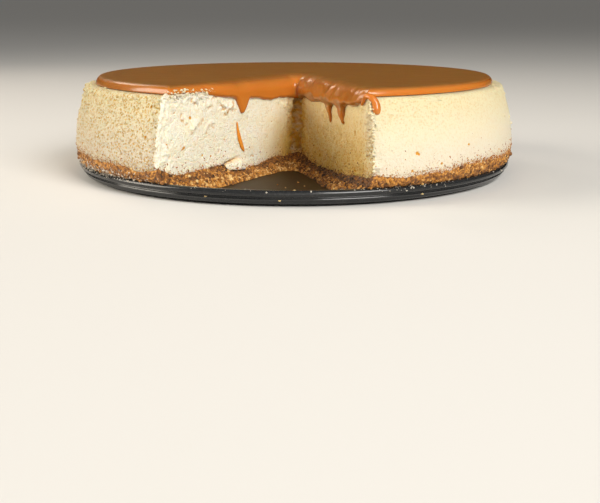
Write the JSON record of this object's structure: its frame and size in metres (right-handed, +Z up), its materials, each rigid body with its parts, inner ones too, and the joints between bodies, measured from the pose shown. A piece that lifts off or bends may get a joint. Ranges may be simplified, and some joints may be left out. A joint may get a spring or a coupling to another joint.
{
  "type": "cheesecake",
  "caption": "Round baked cheesecake with a crumb crust and a caramel layer, one wedge cut out, resting on the metal base of its tin.",
  "frame": {"origin": "centre of the flat underside of the tin base", "axes": "+Z up through the middle of the cake; the open wedge faces -Y, a little towards -X"},
  "size_m": [0.2321, 0.2311, 0.0512],
  "materials": {
    "tin_base": "satin dark non-stick coating on sheet steel",
    "crust": null,
    "filling": null,
    "caramel_topping": null
  },
  "bodies": {
    "root": {"tin_base": "tin_base", "crust": "crust", "filling": "filling", "caramel_topping": "caramel_topping"}
  },
  "joints": []
}
